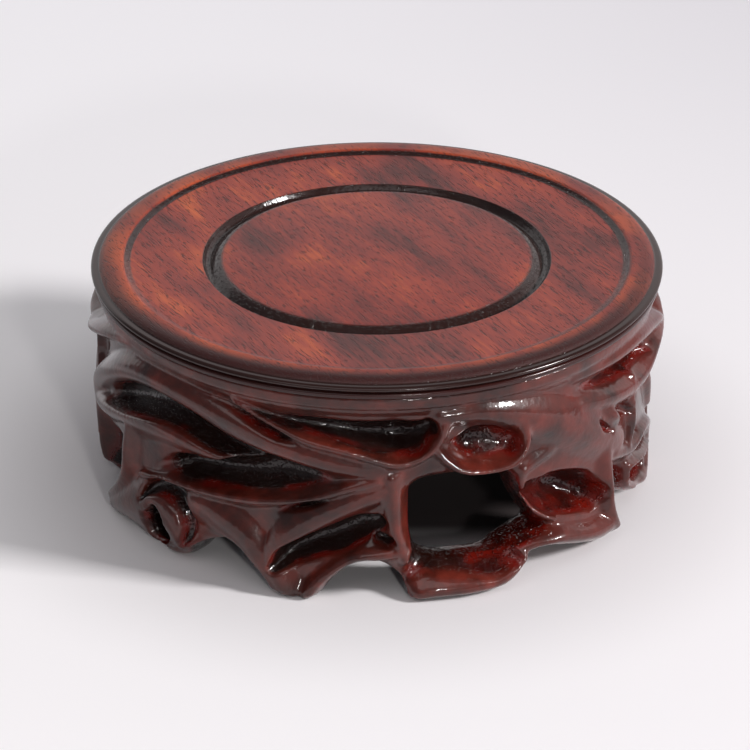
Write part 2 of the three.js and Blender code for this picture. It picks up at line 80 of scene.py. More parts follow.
def bakeModifiers(piece):
    # the piece's modifiers become its mesh
    bpy.context.view_layer.update()
    depsgraph = bpy.context.evaluated_depsgraph_get()
    baked = bpy.data.meshes.new_from_object(piece.evaluated_get(depsgraph))
    old = piece.data
    piece.modifiers.clear()
    piece.data = baked
    baked.name = piece.name
    bpy.data.meshes.remove(old)


def curveSpan(a, b, c, d, stepsEach):
    # places on a smooth curve from b to c, with a before them and d after
    span = []
    for step in range(stepsEach):
        t = step / stepsEach
        span.append(0.5 * (2 * b + (c - a) * t + (2 * a - 5 * b + 4 * c - d) * t ** 2
                           + (3 * b - a - 3 * c + d) * t ** 3))
    return span


def smoothPath(points, stepsEach):
    # a curve through given points, sampled between them
    p = np.array(points, float)
    padded = np.vstack([2 * p[0] - p[1], p, 2 * p[-1] - p[-2]])
    rows = []
    for i in range(1, len(padded) - 2):
        rows += curveSpan(*padded[i - 1:i + 3], stepsEach)
    rows.append(p[-1])
    return np.array(rows)


def smoothLoop(points, stepsEach):
    # the same for a closed outline
    p = np.array(points, float)
    count = len(p)
    rows = []
    for i in range(count):
        rows += curveSpan(p[i - 1], p[i], p[(i + 1) % count], p[(i + 2) % count], stepsEach)
    return np.array(rows)


# Carved ring. Turn is in degrees from the front towards the right, height and radius in millimetres.

ring = {
    "bore": 46.0,
    "wall": 56.8,              # radius of the surface between the roots
    "collar": 58.7,
    "collarHeight": 2.6,
    "collarLip": 0.5,          # how far the collar stands out from the neck under it
    "collarOverlap": 0.1,
    "neckStart": 3.4,          # how far under the collar the wall starts to swell
    "neckRun": 3.2,
    "crestPower": 1.5,         # higher makes narrower crests
    "rootBlend": 0.35,         # how softly roots run into each other
    "bowlPower": 2.5,          # higher makes flatter floors with steeper sides
    "overcut": 0.3,            # how far a cut's sides rise past the surface
    "leastBowl": 0.6,
    "sideBlend": 1.2,          # from a stroke's upper width to its lower one
    "strokeReach": 8,
    "strokeSteps": 4,
    "outlineSteps": 6,
    "strokeRadius": 58,        # where lengths along the surface are measured
    "rollWidth": 3.0,          # how far the wall rounds over towards each opening
    "rollOutwards": 1.2,       # from the middle of the wall to the rounded edge
    "rollEdge": 0.25,          # share of the wall's thickness left at that edge
    "footRound": 1.2,
    "footRoundHeight": 1.6,
    "turnSteps": 900,
    "heightSteps": 118,
    "voxel": 0.42,
    "rubs": 3,                 # how often the fused surface is smoothed
    "rubFactor": 0.5,
    "firstJoint": -35,         # turn of the first glue line
    "quarter": 90,
    "glueLine": 0.02,
    "deepCut": 4,              # a cut of this depth gets the darkest painted shade
    "behindStart": 1,          # painted shade darkens the wall's inside from here on, behind the surface
    "behindRun": 3,
}
farAway = 100.0                # farther than any two places on the ring

# Soft roots: turn, height, width above, width below, lift of the crest
roots = [
    # ridge from the left end up over the left side and down to the middle
    [(-89, 3, 2, 2, 2.8), (-90, 10, 2, 2, 3), (-89, 17, 3, 3, 3.2), (-85, 23, 4.5, 4, 3.4),
     (-79, 28.2, 4.5, 3.5, 3.6), (-70, 33.6, 4.5, 3.5, 3.4), (-61, 37.8, 4.5, 3.5, 3),
     (-51, 40, 4, 4, 2.8), (-40, 39.6, 3.6, 5, 2.6), (-30, 37.4, 3.5, 6, 2.4), (-20, 34.4, 4, 5, 2.4),
     (-10, 31.8, 4, 4, 2.2), (0, 30, 4, 4, 2)],
    # tongue under it
    [(-90, 16, 3, 3, 2.4), (-84, 20.6, 3, 4, 3.2), (-75, 23.4, 2.5, 4.5, 3.2), (-66, 26.8, 2.5, 5, 3),
     (-57, 29, 2.5, 6, 2.8), (-48, 30, 2.5, 5, 2.8), (-41, 29.4, 2.5, 4, 2.4), (-34, 28, 2, 2, 1.2)],
    # web between the left opening and the curl
    [(-62, 25, 4, 4, 2.2), (-62.4, 19, 3.6, 3.6, 2.8), (-63.6, 13, 3, 4, 2.8), (-68, 7.4, 2.4, 4, 2.8),
     (-73, 3, 2.4, 3, 2.6)],
    # crest under the second valley
    [(-57, 15.8, 1.2, 2, 2.2), (-52, 17, 1, 1.4, 2.4), (-46, 18.8, 0.8, 1.4, 2.6),
     (-38, 19.8, 0.8, 2.6, 2.8), (-28, 20.8, 0.8, 3, 2.8), (-21, 21.8, 1, 2.4, 2.8),
     (-13, 23.6, 1, 2.2, 2.8), (-6, 26.4, 1.4, 2.6, 2.6), (0, 28, 2, 2.6, 2.2)],
    # broad face running down to the front left foot
    [(-40, 15.6, 4, 6, 2.2), (-35, 15.4, 5, 7, 2.6), (-28, 12, 5, 6, 2.6), (-24, 6, 5, 4, 2.6),
     (-21, 0, 5, 4, 2.6)],
    # front left foot
    [(1, 25.5, 4, 4, 2), (-7, 21.8, 4.6, 4, 2.6), (-14, 17.4, 5, 4.4, 2.8), (-19, 12, 5, 4.4, 3),
     (-21, 6, 5, 4.4, 3), (-18, 0, 5, 5, 3)],
    [(7, 12, 2.2, 2.4, 2.4), (2, 11.4, 2, 2.6, 2.8), (-3, 10.4, 2.2, 2.6, 3), (-8, 7.6, 2.4, 2.6, 3.2),
     (-12, 3.6, 2.8, 2.8, 3.2), (-15, -1, 3, 3, 3.2)],
    # post beside the front opening
    [(3, 28, 3, 3, 2), (3.4, 22, 3, 3, 2.6), (4, 16, 3, 3, 2.8), (6, 10, 3, 3, 2.6)],
    # front right foot
    [(7, 1.4, 3.4, 3, 2.8), (12, 2.4, 4, 3.4, 3.4), (19, 2.4, 4, 3.4, 3.8), (26, 3, 4, 3.4, 3.6),
     (30.4, 6, 3.4, 3.2, 3)],
    # strand that leaves it
    [(29, 8.2, 2.2, 2.4, 2.4), (36, 8.6, 2.6, 3, 2.8), (43, 7, 2.8, 4, 3), (50, 5, 3, 4, 3),
     (58, 4.2, 3.4, 4, 2.8)],
    # right foot
    [(54.6, 25, 4, 4, 2), (55, 17, 3, 3, 2.6), (56, 10, 3, 3, 3), (58.4, 3.4, 3, 3, 3)],
    # broad root from over the cut branch down to the right foot
    [(13, 41.5, 3, 3, 2), (22, 41.6, 4, 4, 2.8), (32, 38, 6, 6, 2.8), (42, 33, 7, 7, 2.8),
     (52, 27, 7, 7, 2.6), (59, 22, 6, 6, 2.2)],
    # strand at the right edge of the front opening
    [(38, 28.6, 2.4, 2.4, 1.2), (31, 25.6, 2, 2, 1.8), (31.2, 20, 1.4, 1.4, 2.4), (33.6, 15.4, 1.3, 1.3, 2.4),
     (39, 12, 1.4, 1.4, 2.2)],
    # bands over and under the slot on the right
    [(44, 42.8, 2.4, 2.2, 1.4), (56, 42.6, 2.6, 2.4, 2.2), (68, 42, 3, 3, 2.4), (78, 40, 3, 3, 2.6),
     (86, 38, 3, 3, 3.6), (90, 36, 3, 3, 3.9)],
    [(46, 35.8, 2.2, 3, 1.6), (58, 33.4, 2.6, 4, 2.2), (67, 32, 3, 4, 2.4), (74, 32.2, 3, 4, 2.8),
     (81, 35, 3, 3.6, 3.6), (90, 36, 3, 3.4, 4)],
    [(66, 35, 2, 2, 1.8), (65.4, 30, 1.8, 1.8, 2.2), (66.4, 24, 1.8, 1.8, 2.2), (64, 18, 2, 2, 1.8)],
    # ringed foot on the right
    [(58, 20, 3, 3, 2), (66, 17.4, 2.2, 2.4, 2.2), (74, 17.6, 2, 2, 2), (82, 15.6, 2.2, 2.2, 1.8),
     (86.6, 10, 2, 2, 1.4), (85.6, 3, 2, 2, 1.4), (78, 3, 1.4, 1.6, 1.4), (71.6, 5, 1.2, 1.6, 1.6),
     (66.4, 8, 1.2, 1.4, 1.8), (65.6, 13, 1.4, 1.4, 2)],
    [(66, 13, 1, 1, 2), (73, 11.8, 1, 1, 2.2), (79, 10.4, 1, 1, 2), (86, 9.4, 1, 1, 1.4)],
    # strand at the right end
    [(76, 32, 2, 2, 1.6), (79, 27, 2, 2, 2), (83, 20, 2, 2, 1.6)],
    # bright nub on the right
    [(52.6, 32.6, 1.8, 1.8, 1), (56, 30, 2.6, 2.6, 2.9), (58.6, 27.4, 1.6, 1.6, 2.2)],
    # shoulder on the left
    [(-90, 36.6, 2.6, 2.6, 3.6), (-85, 37, 3, 3, 4.3), (-79.6, 39, 3, 3, 3.9), (-72.4, 41.6, 2.6, 2.4, 3.4),
     (-66, 43.2, 2, 2, 2.6), (-60, 44.4, 1.6, 1.6, 2)],
    # strand from it down to the ridge
    [(-89, 34, 1.4, 1.4, 2.6), (-90, 29, 1.3, 1.3, 2.6), (-88, 24, 1.4, 1.4, 2.6)],
    # foot under the curl
    [(-71, 2, 4, 4, 2.8), (-65, 5.6, 5, 6, 3), (-57, 9, 7, 8, 3), (-48, 10.4, 7.4, 8, 3.2),
     (-43, 5.6, 4, 5, 2.8)],
    # curl on it
    [(-56, 10.4, 0.7, 0.7, 1.6), (-52, 11.6, 0.8, 0.8, 2.2), (-48, 11.6, 0.9, 0.9, 2.4),
     (-45.6, 9.4, 0.9, 0.9, 2.4), (-45.4, 6.4, 0.9, 0.9, 2.4), (-47.4, 3, 0.8, 0.8, 2.2)],
    # lip of the front bowl
    [(-30, 42.1, 0.9, 1.6, 1.6), (-20, 38.8, 1, 2, 2.2), (-14, 36.6, 1, 2.4, 2.6),
     (-5, 34.9, 1, 2.8, 2.8), (0, 33.4, 1, 3, 3), (4, 32.3, 1, 2.6, 3.2), (8, 33.2, 1.2, 2.4, 3.2),
     (11.6, 35.8, 1.6, 2.2, 3), (13.4, 39.6, 2, 2.4, 2.4)],
    # lip of the cut branch
    [(12, 34.4, 1.4, 1.8, 2.8), (14, 32.2, 1.4, 1.8, 3.6), (16.8, 30, 1.5, 1.8, 4.2),
     (20.6, 28.9, 1.7, 1.8, 4.4), (25, 28.8, 1.7, 1.8, 4.4), (28.6, 30.2, 1.8, 2, 4.2),
     (30.8, 33.6, 2, 2.2, 3.4), (30.4, 37.6, 2, 2.4, 2.8)],
]

# Cuts of the gouge: softness of the upper and lower edge, then turn, height, width above, width below
# and radius of the floor
cuts = [
    # front bowl
    (1.2, 0.2, [(-30, 42.3, 0.4, 0.3, 57.6), (-22, 40.4, 1, 1, 56), (-16, 39, 2.4, 1.3, 54.4),
                (-9, 38, 3.2, 1.9, 53), (-4, 37, 4.1, 2, 52.2), (0.2, 36.4, 4.7, 2.7, 51.4),
                (4, 36.2, 5.2, 3.3, 51), (7.4, 37.2, 4.2, 3.6, 51.6), (10.4, 39, 2.2, 2.2, 53.4)]),
    # lens beside it
    (0.2, 0.2, [(-40, 42.2, 0.4, 0.4, 57.6), (-32, 41.2, 1, 1, 56.4), (-25, 38.6, 1.3, 1.3, 55.6),
                (-20, 36.8, 1.2, 1.3, 55.8), (-16, 35.6, 0.4, 0.4, 57.6)]),
    # two valleys on the left that meet
    (0.5, 0.2, [(-74, 25.8, 1.4, 1.4, 56.8), (-70.6, 27.6, 2.6, 2.4, 53.8), (-65, 29.8, 3.3, 3.2, 52.6),
                (-59.6, 31.7, 3.8, 3.5, 52.2), (-54, 33.2, 3.8, 3.4, 52), (-48, 33.8, 3.8, 2.9, 52),
                (-42, 33, 4.2, 2.4, 52),
                (-36, 31.2, 4.2, 2.3, 52), (-31, 29.8, 4, 2, 52.2), (-25, 28.8, 3.8, 2, 52.6),
                (-20, 28.4, 3.2, 2, 53.6)]),
    (0.4, 0.2, [(-54, 18.4, 0.7, 0.7, 57.4), (-50.4, 20.2, 1.4, 1.4, 56.4), (-47.8, 21.2, 2.2, 2.2, 54.6),
                (-45.4, 21.9, 2.9, 2.7, 52), (-40, 23, 3.3, 3.1, 51.4), (-34, 24, 3.3, 3.4, 51.6),
                (-27, 25.6, 4.4, 4, 51.8),
                (-21.7, 27, 5, 4.4, 51.8), (-17.6, 27.2, 4.2, 3.8, 52.6), (-13.4, 27.3, 3, 2.8, 54),
                (-9.8, 27.3, 1.4, 1.4, 56), (-7.6, 27.2, 0.3, 0.3, 57.6)]),
    # groove on the front left foot
    (0.2, 0.2, [(-22, 17.6, 0.3, 0.3, 57.6), (-18, 20, 1.2, 1, 55.6), (-13.5, 22, 1, 1.2, 55.6),
                (-9, 23.6, 0.3, 0.4, 57.8)]),
    # hollow between the two strands of that foot
    (0.3, 0.2, [(-21, 6.2, 1.4, 1.4, 56.4), (-18.4, 8.8, 2.8, 2.8, 53.2), (-12.6, 12, 3.4, 3.4, 52),
                (-7.5, 14.2, 3.7, 3.7, 52), (-3, 16.4, 3.6, 3.4, 52), (0, 17.6, 2.4, 2.4, 53.6)]),
    # facets of the post
    (0.2, 0.2, [(0.4, 14.2, 1.5, 1.5, 54.6), (2.2, 14, 1.6, 1.6, 54.6)]),
    # top of the front right foot
    (0.6, 0.2, [(6.6, 5.6, 1.8, 1.6, 56), (10, 8.6, 4, 3.6, 53.6), (15, 8.8, 4, 3.9, 54),
                (20, 8.4, 4, 4.4, 54.8), (25, 7.8, 3.6, 4.6, 55.4), (28.4, 7.4, 1.4, 3, 56.6)]),
    # hollow to the right of the front opening
    (0.3, 0.2, [(33.6, 20.4, 2.4, 2.4, 53), (37, 18.8, 4.4, 4.4, 50), (42, 17, 5.1, 5.2, 48.6),
                (47.5, 14.8, 5, 4.8, 48.8), (51.6, 12.2, 3.6, 3.4, 51.4)]),
    # slot on the right
    (0.2, 0.2, [(43.4, 39.9, 0.3, 0.3, 57.8), (50, 38.9, 1.3, 1.4, 55), (57, 37.9, 2, 2.1, 53),
                (65, 37.5, 2.4, 2.6, 52.4), (72, 36.6, 2, 2.2, 53), (76.6, 35.4, 0.7, 0.7, 56.6)]),
    # small hollows right of the nub
    (0.3, 0.3, [(59.8, 29.4, 0.8, 0.8, 57.2), (62.4, 28, 1.9, 1.9, 54.8), (65, 26.4, 1.2, 1, 56.6)]),
    (0.3, 0.3, [(51.4, 30.4, 0.6, 0.6, 57.6), (53, 28.4, 1, 1, 56.4), (55.6, 26.4, 0.6, 0.6, 57.6)]),
    (0.2, 0.2, [(68.6, 31, 0.5, 0.5, 57.6), (69.8, 28.6, 1, 1, 55.6), (70, 25.4, 1, 1, 55.6),
                (69.4, 23.4, 0.4, 0.4, 57.6)]),
    (0.2, 0.2, [(70, 22, 0.7, 0.7, 56), (70.6, 19.6, 0.8, 0.8, 56)]),
    (0.2, 0.2, [(69, 14.6, 0.6, 0.6, 56.6), (73, 14.8, 1.6, 1.8, 53), (78, 13.6, 1.9, 1.9, 52),
                (82, 12.2, 1.2, 1.2, 53)]),
    (0.2, 0.2, [(68.6, 10, 0.8, 0.8, 55), (72, 8.6, 2, 2, 50), (77, 7, 2.4, 2.6, 49),
                (81.6, 6.2, 2.4, 2.4, 49.4)]),
    # lens at the right end
    (0.3, 0.3, [(86, 31.4, 1, 1, 56.4), (88, 27, 2.4, 2.4, 54), (90, 22.4, 1.2, 1.2, 56)]),
    # slit under the left shoulder
    (0.3, 0.3, [(-87, 27, 0.5, 0.5, 56), (-84.6, 30.4, 1.5, 1.5, 52), (-82, 33.6, 1.4, 1.4, 52),
                (-78, 35.8, 0.5, 0.5, 57)]),
    # ring and pit of the curl
    (0.2, 0.2, [(-56, 10.6, 0.7, 0.7, 57.4), (-54.2, 13.2, 1.6, 1.4, 56), (-50.8, 15.2, 2.2, 2, 55.2),
                (-46.8, 15.6, 2.5, 2.5, 55), (-43.2, 13.6, 2.2, 2.3, 55.2), (-41.8, 10.4, 1.7, 2, 55.8),
                (-42.2, 7, 1.3, 1.4, 56.4), (-43.8, 4, 0.5, 0.5, 57.6)]),
    (0.2, 0.2, [(-50.8, 8.6, 2.8, 2.8, 51), (-51.6, 6, 4.6, 4.6, 48.6), (-53, 3.8, 3.8, 3.8, 49)]),
    # hollow of the cut branch
    (0.3, 0.2, [(16.2, 34.6, 1.8, 1.8, 55.4), (19.4, 34.5, 3.8, 3.8, 53.2), (23.6, 34.2, 4, 4.2, 53.8),
                (27, 33.6, 3.2, 3.4, 55.2)]),
]

# Openings right through the wall: outlines of turn and height. The arches reach below the feet.
openings = [
    [(7.4, 25.4), (6.8, 22), (6.8, 17), (7.6, 11.6), (9.4, 8.4), (13, 7.1), (19, 6.7), (26, 6.5),
     (30, 8.2), (35, 9.6), (38.4, 10.4), (36, 12), (34, 14.6), (32.2, 17.6), (30.6, 21), (29.4, 24.4),
     (27.4, 26), (24, 27), (12, 27)],
    [(-11.8, -3), (-10.6, 1.8), (-7.8, 5.6), (-5.4, 7.9), (-2.8, 8.7), (0, 8), (2.8, 6.5), (5.2, 4),
     (6.2, 0.6), (6.4, -3)],
    [(-45.6, -3), (-43, 2.4), (-40.4, 5.2), (-36.4, 7.2), (-32.8, 8.1), (-30, 7.1), (-27.4, 5.2),
     (-24.8, 3.2), (-22.8, 0.6), (-21.8, -3)],
    [(30, -3), (31.4, 2), (33.6, 4.6), (36.4, 5.2), (40, 4.7), (44.8, 3.1), (50, 1.2), (53, -3)],
    [(62.6, -3), (61.4, 3), (59.2, 7), (58.2, 10.6), (58.8, 13.6), (61, 14.8), (63.4, 14), (64.4, 11.6),
     (64.8, 9), (66.6, 6.4), (71, 4), (77, 2), (80, -3)],
    [(-87.6, -3), (-87.8, 5), (-87, 12), (-83, 14), (-77.4, 15.6), (-71.2, 17.2), (-67.8, 16.4),
     (-67, 14), (-68.4, 10.8), (-71.6, 8), (-75.4, 5), (-76.8, 2), (-77, -3)],
]

mmPerDegree = math.radians(ring["strokeRadius"])


def arc(turnA, turnB):
    # distance along the surface, the short way round
    return ((turnA - turnB + 180) % 360 - 180) * mmPerDegree


def strokeField(turn, height, points):
    # for every place: distance to the stroke, the stroke's width there and its last value, and 1 above
    # the stroke or 0 below it
    path = smoothPath(points, ring["strokeSteps"])
    best = np.full(turn.shape, farAway)
    width, value, upper = np.ones(turn.shape), np.zeros(turn.shape), np.zeros(turn.shape)
    middle = (path[:, 0].min() + path[:, 0].max()) / 2
    reach = (path[:, 0].max() - path[:, 0].min()) / 2 * mmPerDegree + ring["strokeReach"]
    near = np.abs(arc(turn, middle)) < reach
    near &= height > path[:, 1].min() - ring["strokeReach"]
    near &= height < path[:, 1].max() + ring["strokeReach"]
    t, h = turn[near], height[near]
    b, w, v, u = best[near], width[near], value[near], upper[near]
    for a, c in zip(path[:-1], path[1:]):
        runX, runY = (c[0] - a[0]) * mmPerDegree, c[1] - a[1]
        x, y = arc(t, a[0]), h - a[1]
        share = np.clip((x * runX + y * runY) / (runX ** 2 + runY ** 2), 0, 1)
        distance = np.hypot(x - share * runX, y - share * runY)
        over = (runX * y - runY * x) * (1 if runX >= 0 else -1) / math.hypot(runX, runY)
        over = np.clip(0.5 + over / ring["sideBlend"], 0, 1)
        closer = distance < b
        b = np.where(closer, distance, b)
        below = a[3] + (c[3] - a[3]) * share
        w = np.where(closer, below + (a[2] + (c[2] - a[2]) * share - below) * over, w)
        v = np.where(closer, a[4] + (c[4] - a[4]) * share, v)
        u = np.where(closer, over, u)
    best[near], width[near], value[near], upper[near] = b, w, v, u
    return best, width, value, upper


def softMax(a, b, blend):
    # the larger of the two, with a fillet where they cross
    share = np.clip(0.5 + (a - b) / (2 * blend), 0, 1)
    return b + (a - b) * share + blend * share * (1 - share)


def outlineDistance(turn, height, outline):
    # distance to an outline's edge, below 0 inside it, and the nearest place on the edge
    loop = smoothLoop(outline, ring["outlineSteps"])
    inside = np.zeros(turn.shape, bool)
    best = np.full(turn.shape, farAway)
    nearTurn, nearHeight = np.zeros(turn.shape), np.zeros(turn.shape)
    for a, c in zip(np.roll(loop, 1, axis=0), loop):
        x1, y1 = arc(a[0], turn), a[1] - height
        runX, runY = (c[0] - a[0]) * mmPerDegree, c[1] - a[1]
        share = np.clip(-(x1 * runX + y1 * runY) / (runX ** 2 + runY ** 2), 0, 1)
        distance = np.hypot(x1 + share * runX, y1 + share * runY)
        closer = distance < best
        best = np.where(closer, distance, best)
        nearTurn = np.where(closer, a[0] + (c[0] - a[0]) * share, nearTurn)
        nearHeight = np.where(closer, a[1] + runY * share, nearHeight)
        y2 = c[1] - height
        crosses = (y1 > 0) != (y2 > 0)
        crossing = x1 - y1 * runX / np.where(runY == 0, 1e-9, runY)
        inside ^= crosses & (crossing > 0)
    return np.where(inside, -best, best), nearTurn, nearHeight


def carve(turn, height):
    # radius of the carved surface, and how deep the gouge has gone there
    start = ringTop - ring["collarHeight"]
    rise = np.clip((height - start + ring["neckStart"]) / ring["neckRun"], 0, 1)
    rise = rise * rise * (3 - 2 * rise)
    body = ring["wall"] + (ring["collar"] - ring["collarLip"] - ring["wall"]) * rise
    for points in roots:
        distance, width, lift, _ = strokeField(turn, height, points)
        crest = np.clip(1 - (distance / width) ** 2, 0, 1) ** ring["crestPower"]
        body = softMax(body, ring["wall"] + lift * crest, ring["rootBlend"])
    radius = body
    for softAbove, softBelow, points in cuts:
        distance, width, floor, upper = strokeField(turn, height, points)
        depth = np.maximum(body + ring["overcut"] - floor, ring["leastBowl"])
        bowl = floor + depth * (distance / width) ** ring["bowlPower"]
        radius = -softMax(-radius, -bowl, softBelow + (softAbove - softBelow) * upper)
    collar = height > start - ring["collarOverlap"]
    radius = np.where(collar, np.maximum(radius, ring["collar"]), radius)
    return radius, np.maximum(body, radius) - radius


def mirrored(turn):
    # the back is carved like the front seen in a mirror
    turn = (turn + 180) % 360 - 180
    return np.where(np.abs(turn) > 90, np.where(turn > 0, 180, -180) - turn, turn)


def cutOpenings(bm, wholeTurn, height):
    # takes the openings' faces out of the flat grid and draws the new edges onto the outlines
    turn = mirrored(wholeTurn)
    distance = np.full(turn.shape, farAway)
    edgeTurn, edgeHeight = turn.copy(), height.copy()
    for outline in openings:
        away, nearTurn, nearHeight = outlineDistance(turn, height, outline)
        closer = away < distance
        distance = np.where(closer, away, distance)
        edgeTurn = np.where(closer, nearTurn, edgeTurn)
        edgeHeight = np.where(closer, nearHeight, edgeHeight)
    gone = [face for face in bm.faces if sum(distance[v.index] for v in face.verts) < 0]
    rim = np.zeros(turn.shape, bool)
    for face in gone:
        for v in face.verts:
            rim[v.index] = True
    shift = np.where(np.cos(np.radians(wholeTurn)) < 0, -1, 1) * (edgeTurn - turn)
    wholeTurn = np.where(rim, wholeTurn + shift, wholeTurn)
    height = np.where(rim, np.clip(edgeHeight, 0, ringTop), height)
    distance = np.where(rim, 0, distance)
    bmesh.ops.delete(bm, geom=gone, context="FACES")
    return wholeTurn, height, distance


def buildRing(material):
    bm = bmesh.new()
    bmesh.ops.create_grid(bm, x_segments=ring["turnSteps"], y_segments=ring["heightSteps"], size=0.5)
    tag = bm.verts.layers.int.new("tag")
    for v in bm.verts:
        v[tag] = v.index
    flat = np.array([v.co[:2] for v in bm.verts])
    turn, height, distance = cutOpenings(bm, flat[:, 0] * 360, (flat[:, 1] + 0.5) * ringTop)
    outer, _ = carve(mirrored(turn), height)
    print("surface carved")

    # the wall rounds over towards each opening, from both sides
    roll = np.sqrt(np.clip(1 - (1 - np.clip(distance / ring["rollWidth"], 0, 1)) ** 2, 0, 1))
    roll = ring["rollEdge"] + (1 - ring["rollEdge"]) * roll
    middle = (outer + ring["bore"]) / 2 + ring["rollOutwards"]
    outer = middle + (outer - middle) * roll
    inner = middle - (middle - ring["bore"]) * roll
    outer -= ring["footRound"] * np.clip(1 - height / ring["footRoundHeight"], 0, 1) ** 2

    def place(v, radius):
        angle = math.radians(turn[v[tag]])
        v.co = (radius * math.sin(angle), -radius * math.cos(angle), height[v[tag]])

    for v in bm.verts:
        place(v, outer[v[tag]])
    wall = bmesh.ops.extrude_face_region(bm, geom=list(bm.faces))
    for v in wall["geom"]:
        if isinstance(v, bmesh.types.BMVert):
            place(v, inner[v[tag]])
    bmesh.ops.remove_doubles(bm, verts=bm.verts, dist=1e-4)
    bmesh.ops.scale(bm, vec=(mm, mm, mm), verts=bm.verts)
    bmesh.ops.recalc_face_normals(bm, faces=bm.faces)
    whole = objectFromBmesh("carved_ring", bm, material)
    remesh = whole.modifiers.new("fuse", "REMESH")
    remesh.mode = "VOXEL"
    remesh.voxel_size = ring["voxel"] * mm
    smooth = whole.modifiers.new("rub down", "SMOOTH")
    smooth.factor = ring["rubFactor"]
    smooth.iterations = ring["rubs"]
    bakeModifiers(whole)
    print("ring fused:", len(whole.data.polygons), "faces")
    markHollows(whole.data)
    return whole


def markHollows(mesh):
    # how deep the gouge went, for the smoother lacquer there and for the painted shade in the hollows; the
    # bore counts as deep, so the ring's inside is painted shaded too
    co = np.empty(len(mesh.vertices) * 3)
    mesh.vertices.foreach_get("co", co)
    co = co.reshape(-1, 3) / mm
    turn = np.degrees(np.arctan2(co[:, 0], -co[:, 1]))
    radius = np.hypot(co[:, 0], co[:, 1])
    height = np.clip(co[:, 2], 0, ringTop)
    surface, deep = carve(mirrored(turn), height)
    behind = np.clip((surface - radius - ring["behindStart"]) / ring["behindRun"], 0, 1)
    hollow = np.clip(deep / ring["deepCut"], 0, 1)
    marks = mesh.attributes.new("hollow", "FLOAT", "POINT")
    marks.data.foreach_set("value", np.maximum(hollow, behind))
    co[:, 2] = np.maximum(co[:, 2], 0)    # the feet end on the floor
    mesh.vertices.foreach_set("co", (co * mm).ravel())


def splitRing(whole, material):
    # the glue lines between the four quarters
    for i, name in enumerate(["front", "right", "back", "left"]):
        bm = bmesh.new()
        bm.from_mesh(whole.data)
        start = ring["firstJoint"] + ring["quarter"] * i
        for turn, side in ((start, 1), (start + ring["quarter"], -1)):
            angle = math.radians(turn)
            normal = Vector((math.cos(angle), math.sin(angle), 0)) * side
            geom = list(bm.verts) + list(bm.edges) + list(bm.faces)
            cut = bmesh.ops.bisect_plane(bm, geom=geom, plane_co=normal * ring["glueLine"] / 2 * mm,
                                         plane_no=normal, clear_inner=True)
            edges = [g for g in cut["geom_cut"] if isinstance(g, bmesh.types.BMEdge)]
            bmesh.ops.holes_fill(bm, edges=edges, sides=0)
            for edge in edges:
                edge.smooth = False
        piece = objectFromBmesh("carved_" + name, bm, material)
        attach(piece, "root")
        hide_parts("root_ring_" + name)
        print(piece.name, len(piece.data.polygons), "faces")
    bpy.data.objects.remove(whole)


# Turned top board

board = {
    "steps": 288,
    "underRadius": 59.0,
    "underFillet": 0.3,        # where the board's underside meets the round step
    "spigotChamfer": 0.4,
    "profile": [  # radius, depth under the rim's highest line
        (0, 0.6), (31.6, 0.6), (32.5, 0.68), (33.4, 0.98), (34.2, 1.5), (34.75, 2.05), (35.2, 2.3),
        (35.7, 2.2), (36.2, 1.6), (36.5, 0.95), (36.62, 0.76), (36.8, 0.75),
        (51.4, 0.75), (51.9, 0.72), (52.5, 0.56), (53.1, 0.24), (53.45, 0.04), (53.65, 0),
        (54.2, 0.02), (55.4, 0.05), (56.4, 0.12), (57.2, 0.26), (57.8, 0.5), (58.2, 0.85), (58.4, 1.05),
        (58.7, 1.1), (59.2, 1.1), (59.6, 1.16), (59.9, 1.32), (60, 1.56), (59.96, 1.8), (59.8, 2.0),
        (59.4, 2.1), (58.9, 2.14), (58.75, 2.3), (58.75, 2.5), (58.95, 2.62), (59.4, 2.72),
        (59.55, 2.9), (59.55, 3.5), (59.4, 3.8), (59.1, 3.98)],
}


def buildBoard(material):
    bm = bmesh.new()
    top = stand["height"]
    under = top - stand["boardEdge"]
    spigot, foot = stand["spigotRadius"], under - stand["spigotDepth"]
    fillet, chamfer = board["underFillet"], board["spigotChamfer"]
    outline = [(r, top - depth) for r, depth in board["profile"]]
    outline += [(board["underRadius"], under), (spigot + fillet, under), (spigot, under - fillet),
                (spigot, foot + chamfer), (spigot - chamfer, foot), (0, foot)]
    verts = [bm.verts.new((r * mm, 0, z * mm)) for r, z in outline]
    for a, b in zip(verts[:-1], verts[1:]):
        bm.edges.new((a, b))
    bmesh.ops.spin(bm, geom=list(bm.verts) + list(bm.edges), axis=(0, 0, 1), cent=(0, 0, 0),
                   angle=math.tau, steps=board["steps"], use_merge=True)
    bmesh.ops.remove_doubles(bm, verts=bm.verts, dist=1e-6)
    bmesh.ops.recalc_face_normals(bm, faces=bm.faces)
    piece = objectFromBmesh("turned_top", bm, material)
    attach(piece, "root")
    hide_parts("top_board")
    return piece


# Materials

def newMaterial(name):
    material = bpy.data.materials.new(name)
    material.use_nodes = True
    tree = material.node_tree
    return material, tree, tree.nodes["Principled BSDF"]


def setInputs(tree, node, values):
    # each input, by name or number, takes a value or another node's output
    for key, value in values.items():
        if isinstance(value, bpy.types.NodeSocket):
            tree.links.new(value, node.inputs[key])
        else:
            node.inputs[key].default_value = value


def addNode(tree, kind, values):
    node = tree.nodes.new(kind)
    setInputs(tree, node, values)
    return node


def compute(tree, operation, a, b=0.0):
    node = addNode(tree, "ShaderNodeMath", {0: a, 1: b})
    node.operation = operation
    return node.outputs[0]


def between(tree, value, low, high):
    # eased from 0 at low to 1 at high
    node = addNode(tree, "ShaderNodeMapRange", {"Value": value, "From Min": low, "From Max": high})
    node.interpolation_type = "SMOOTHSTEP"
    return node.outputs[0]


